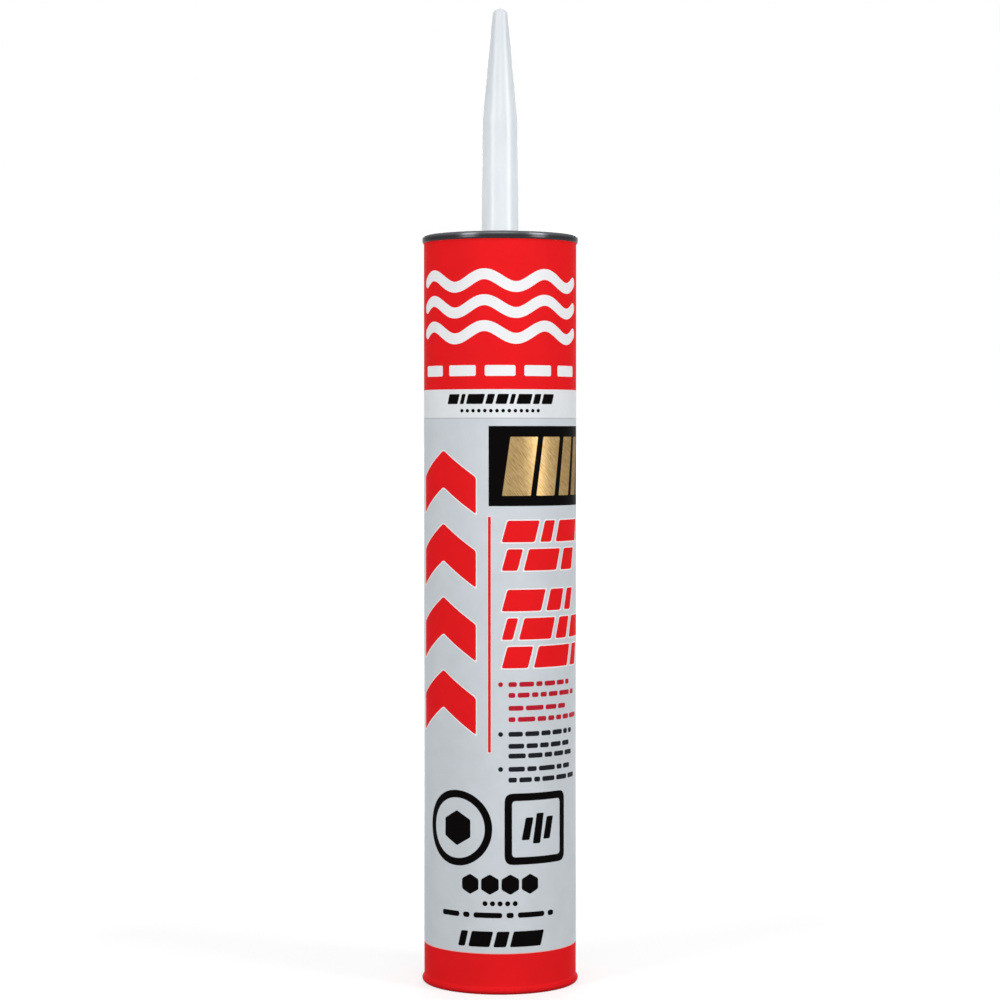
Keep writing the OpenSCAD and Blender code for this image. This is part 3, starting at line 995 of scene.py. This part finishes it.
def nozzle_line(inset):
    """Line from the shoulder's blend to the tip, inset from the nozzle's surface."""
    shoulder_z = BODY_HEIGHT + NOZZLE_SHOULDER_HEIGHT
    tip_z = NOZZLE_TOP - NOZZLE_TIP_RADIUS
    shank_lean = math.atan2(NOZZLE_BASE_RADIUS - NOZZLE_SHOULDER_RADIUS, NOZZLE_SHOULDER_HEIGHT)
    taper_lean = math.atan2(NOZZLE_SHOULDER_RADIUS - NOZZLE_TIP_RADIUS, tip_z - shoulder_z)
    tangent = NOZZLE_SHOULDER_BLEND * math.tan((taper_lean - shank_lean) / 2)
    start = (
        NOZZLE_SHOULDER_RADIUS + tangent * math.sin(shank_lean),
        shoulder_z - tangent * math.cos(shank_lean),
    )
    centre = (
        start[0] - NOZZLE_SHOULDER_BLEND * math.cos(shank_lean),
        start[1] - NOZZLE_SHOULDER_BLEND * math.sin(shank_lean),
    )
    blend = arc(centre, NOZZLE_SHOULDER_BLEND - inset, math.degrees(shank_lean), math.degrees(taper_lean))
    tip = arc((0, tip_z), NOZZLE_TIP_RADIUS - inset, math.degrees(taper_lean), 90)
    tip[-1] = (0, tip[-1][1])
    return blend, tip


def make_nozzle():
    """Moulded nozzle: flange, neck, snap rib, slightly drafted shank, taper and closed round tip."""
    bore = NOZZLE_NECK_RADIUS - NOZZLE_WALL
    snap_low = COLLAR_TOP + FIT_CLEARANCE
    snap = COLLAR_LINE + SHEET / 2 + SNAP_HOLD
    bore_end = NOZZLE_TOP - NOZZLE_TIP_WALL
    blend, tip = nozzle_line(0)
    inner_blend, _ = nozzle_line(NOZZLE_WALL)
    outline = [
        (bore, NOZZLE_FLANGE_BOTTOM),
        (NOZZLE_FLANGE_RADIUS, NOZZLE_FLANGE_BOTTOM),
        (NOZZLE_FLANGE_RADIUS, NOZZLE_FLANGE_TOP),
        (NOZZLE_NECK_RADIUS, NOZZLE_FLANGE_TOP),
        (NOZZLE_NECK_RADIUS, snap_low),
        (snap, snap_low),
        (snap, snap_low + SNAP_HEIGHT / 3),
        (NOZZLE_BASE_RADIUS, snap_low + SNAP_HEIGHT),
    ]
    tip_bore = NOZZLE_TIP_RADIUS - NOZZLE_WALL
    outline += blend + tip + [(0, bore_end), (tip_bore, bore_end - tip_bore)]
    outline += inner_blend[::-1] + [(NOZZLE_BASE_RADIUS - NOZZLE_WALL, BODY_HEIGHT)]
    obj = lathe("nozzle_moulding", outline, steps=NOZZLE_STEPS)
    obj.data.materials.append(nozzle_plastic())
    return obj


def lip_line(z, tip):
    """Line up one sealing lip, whose narrow land starts at tip, a share of the lip's height."""
    return [
        (WAIST_RADIUS, z),
        (LIP_RADIUS, z + LIP_HEIGHT * tip),
        (LIP_RADIUS, z + LIP_HEIGHT * (tip + LIP_LAND)),
        (WAIST_RADIUS, z + LIP_HEIGHT),
    ]


def make_rib(number, low, high):
    """One radial rib under the plunger's floor, between two heights."""
    turn = 2 * math.pi * number / RIB_COUNT
    along = Vector((math.cos(turn), math.sin(turn), 0))
    aside = Vector((-along.y, along.x, 0))
    near = HUB_RADIUS - RIB_THICKNESS / 2
    half = RIB_THICKNESS / 2
    corners = []
    for z in (low, high):
        for reach, side in ((near, -half), (RIB_REACH, -half), (RIB_REACH, half), (near, half)):
            corners.append(tuple(along * reach + aside * side + Vector((0, 0, z))))
    sides = [[k, (k + 1) % 4, (k + 1) % 4 + 4, k + 4] for k in range(4)]
    return new_object(f"plunger_rib_{number}", corners, [[3, 2, 1, 0], [4, 5, 6, 7]] + sides)


def make_plunger():
    """Moulded plunger: a cup open to the rear, two sealing lips and a ribbed floor."""
    lead_in = PLUNGER_SKIRT / 2
    outline = [
        (0, CUP_FLOOR),
        (CUP_RADIUS - CUP_CORNER, CUP_FLOOR),
        (CUP_RADIUS, CUP_FLOOR - CUP_CORNER),
        (CUP_RADIUS, PLUNGER_REAR + lead_in),
        (CUP_RADIUS + lead_in, PLUNGER_REAR),
    ]
    outline += lip_line(PLUNGER_REAR, tip=0.2) + lip_line(PLUNGER_FRONT - LIP_HEIGHT, tip=0.6)
    cup = lathe("plunger_cup", outline + [(0, PLUNGER_FRONT)])
    low = CUP_FLOOR - RIB_HEIGHT
    root = CUP_FLOOR + PLUNGER_FRONT_WALL / 2
    ring = lathe("plunger_ring", [
        (HUB_RADIUS - RIB_THICKNESS, low),
        (HUB_RADIUS, low),
        (HUB_RADIUS, root),
        (HUB_RADIUS - RIB_THICKNESS, root),
    ], steps=RING_STEPS)
    joined = [cup, ring] + [make_rib(i, low, root) for i in range(RIB_COUNT)]
    with bpy.context.temp_override(active_object=cup, selected_editable_objects=joined):
        bpy.ops.object.join()
    cup.data.materials.append(plunger_plastic())
    return cup


def make_adhesive():
    """Adhesive between the plunger and the metal end, which shortens as the plunger slides."""
    fill = TUBE_INNER - FIT_CLEARANCE
    crown = GROOVE_INNER_LINE - SHEET / 2 - FIT_CLEARANCE
    lowest, highest = (corner.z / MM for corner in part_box("adhesive"))
    fill_high = GROOVE_BOTTOM - FIT_CLEARANCE
    obj = lathe("adhesive_fill", [
        (0, lowest), (fill, lowest), (fill, fill_high), (crown, fill_high), (crown, highest), (0, highest),
    ], steps=FILL_STEPS)
    obj.data.materials.append(paste())
    return obj, lowest, highest


def seen_straight(tree):
    """An output that is 1 for the rays that show a background: camera, glossy and transmission rays."""
    path = tree.nodes.new("ShaderNodeLightPath")
    latest = path.outputs["Is Camera Ray"]
    for name in ("Is Glossy Ray", "Is Transmission Ray"):
        either = tree.nodes.new("ShaderNodeMath")
        either.operation = "MAXIMUM"
        tree.links.new(latest, either.inputs[0])
        tree.links.new(path.outputs[name], either.inputs[1])
        latest = either.outputs[0]
    return latest


def make_floor():
    """Pale floor that looks white where it is lit, keeps the shadow and fades to white far off."""
    corners = [(x * FLOOR_HALF, y * FLOOR_HALF, 0) for x, y in ((-1, -1), (1, -1), (1, 1), (-1, 1))]
    obj = new_object("floor", corners, [[0, 1, 2, 3]])
    mat, shader = new_material("floor")
    shader.inputs["Base Color"].default_value = linear(*FLOOR_COLOUR)
    shader.inputs["Roughness"].default_value = 0.9
    shader.inputs["Specular IOR Level"].default_value = 0.0
    pale = node(mat, "BsdfDiffuse", {"Color": (FLOOR_PALE, FLOOR_PALE, FLOOR_PALE, 1)})
    place = node(mat, "TexCoord").outputs["Object"]
    away = node(mat, "VectorMath", {0: place}, operation="LENGTH").outputs["Value"]
    level = node(mat, "MapRange", {"Value": away, "From Min": GLOW_NEAR * MM, "From Max": GLOW_FAR * MM,
                                   "To Min": GLOW_LOW, "To Max": 1})
    glow = node(mat, "Emission", {"Color": (1, 1, 1, 1), "Strength": level.outputs["Result"]})
    white = node(mat, "AddShader", {0: pale.outputs[0], 1: glow.outputs[0]})
    straight = seen_straight(mat.node_tree)
    mixed = node(mat, "MixShader", {0: straight, 1: shader.outputs[0], 2: white.outputs[0]})
    link(mat, mixed.outputs[0], mat.node_tree.nodes["Material Output"].inputs["Surface"])
    obj.data.materials.append(mat)


def softbox(name, place, aim, width, height, power):
    """A soft rectangular lamp that points at a spot. Sizes are in millimetres, power in watts."""
    lamp = bpy.data.lights.new(name, "AREA")
    lamp.shape = "RECTANGLE"
    lamp.size = width * MM
    lamp.size_y = height * MM
    lamp.energy = power
    obj = bpy.data.objects.new(name, lamp)
    obj.location = Vector(place) * MM
    obj.rotation_euler = (Vector(aim) * MM - obj.location).to_track_quat("-Z", "Y").to_euler()
    bpy.context.scene.collection.objects.link(obj)


def light_the_scene():
    """Tall soft boxes at both sides, broad ones over the camera and behind, and a white surround."""
    for lamp in LAMPS:
        softbox(*lamp)
    world = bpy.data.worlds.new("studio")
    bpy.context.scene.world = world
    world.use_nodes = True
    tree = world.node_tree
    level = tree.nodes.new("ShaderNodeMapRange")
    level.inputs["To Min"].default_value = SURROUND
    level.inputs["To Max"].default_value = 1.0
    tree.links.new(seen_straight(tree), level.inputs["Value"])
    background = tree.nodes["Background"]
    background.inputs["Color"].default_value = (1, 1, 1, 1)
    tree.links.new(level.outputs["Result"], background.inputs["Strength"])


def place_camera():
    """Long lens, a little above the middle of the cartridge and tipped down a little."""
    camera = bpy.data.cameras.new("camera")
    camera.sensor_width = 36
    camera.lens = CAMERA_LENS
    camera.clip_end = 200
    obj = bpy.data.objects.new("camera", camera)
    obj.location = Vector(CAMERA_PLACE) * MM
    obj.rotation_euler = (math.radians(90 - CAMERA_TIP), 0, 0)
    bpy.context.scene.collection.objects.link(obj)
    bpy.context.scene.camera = obj


place_camera()
light_the_scene()
make_floor()

stands_for = [
    (make_label(), "cartridge", "label", "printed_label"),
    (make_tube(), "cartridge", "tube", "paperboard"),
    (make_top_end(), "cartridge", "top_end", "tinplate"),
    (make_nozzle(), "cartridge", "nozzle", "nozzle_plastic"),
    (make_plunger(), "piston", "plunger", "plunger_plastic"),
]
for piece, body, node_name, slot_name in stands_for:
    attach(piece, body)
    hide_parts(node_name)

adhesive, fill_low, fill_high = make_adhesive()
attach(adhesive, "cartridge")
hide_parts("adhesive")
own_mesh(adhesive)

foil_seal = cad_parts["foil_seal"]
foil_seal.data.materials.clear()
foil_seal.data.materials.append(foil())

bpy.context.scene.view_settings.view_transform = "Standard"
